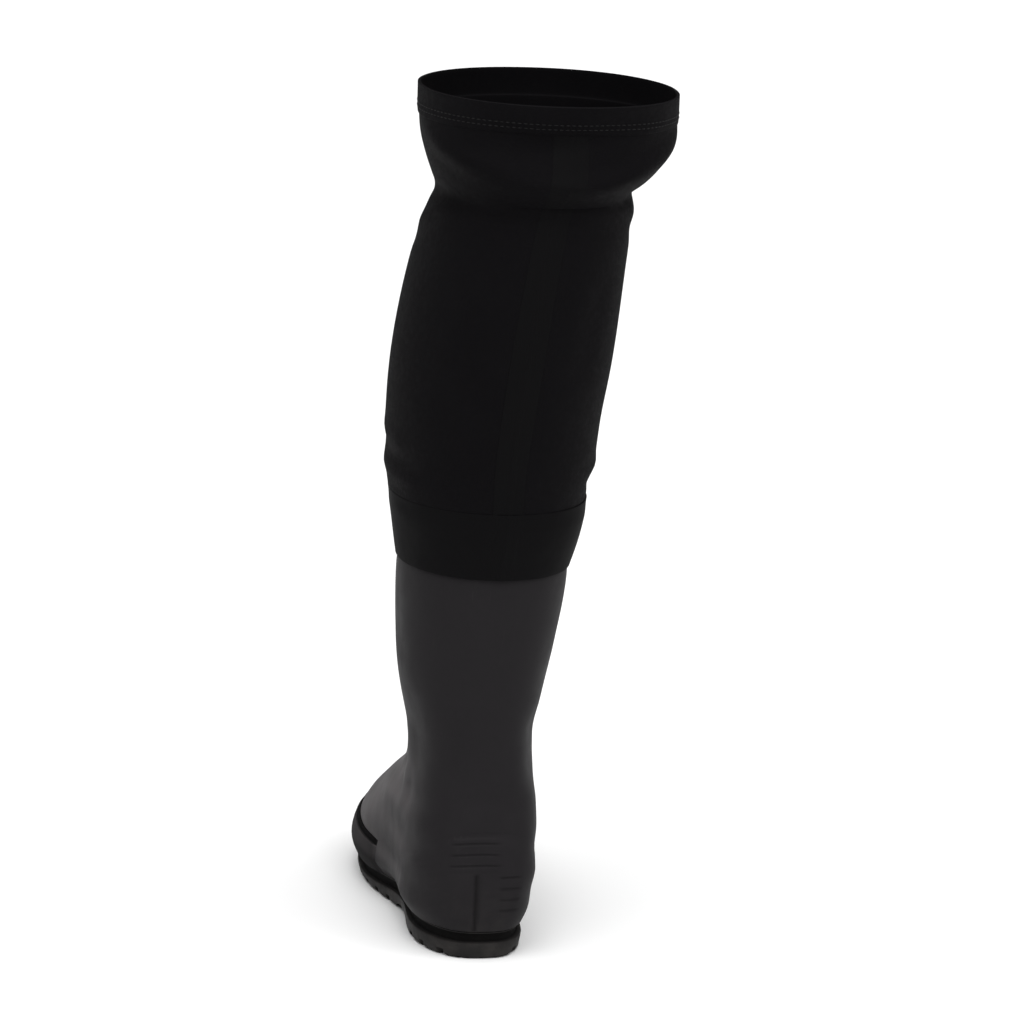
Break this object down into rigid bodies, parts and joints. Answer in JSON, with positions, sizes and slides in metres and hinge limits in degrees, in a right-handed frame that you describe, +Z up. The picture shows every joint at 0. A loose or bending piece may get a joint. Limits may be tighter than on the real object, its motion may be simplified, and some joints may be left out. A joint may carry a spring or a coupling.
{
  "type": "bootfoot wader leg",
  "caption": "Left leg of bootfoot waders: moulded rubber boot with cleated sole, ribbed heel and toe guard, and a soft black leg sealed over its shaft up to the thigh.",
  "frame": {"origin": "on the floor under the middle of the part's box", "axes": "+Z up the leg, +Y from the heel to the toes, +X to the wearer's inner side"},
  "size_m": [0.1953, 0.3164, 0.6105],
  "materials": {
    "boot_rubber": "satin moulded rubber, dark grey",
    "sole_rubber": "matte moulded rubber, dark grey",
    "insole_felt": "grey felt",
    "leg_fabric": "matte black waterproof stretch fabric",
    "band_fabric": "smooth black sealing tape"
  },
  "bodies": {
    "root": {"outsole": "sole_rubber", "boot_upper": "boot_rubber", "toe_guard": "boot_rubber", "heel_counter": "boot_rubber", "insole": "insole_felt", "leg": "leg_fabric", "joint_band": "band_fabric", "back_seam_tape": "band_fabric"}
  },
  "joints": []
}
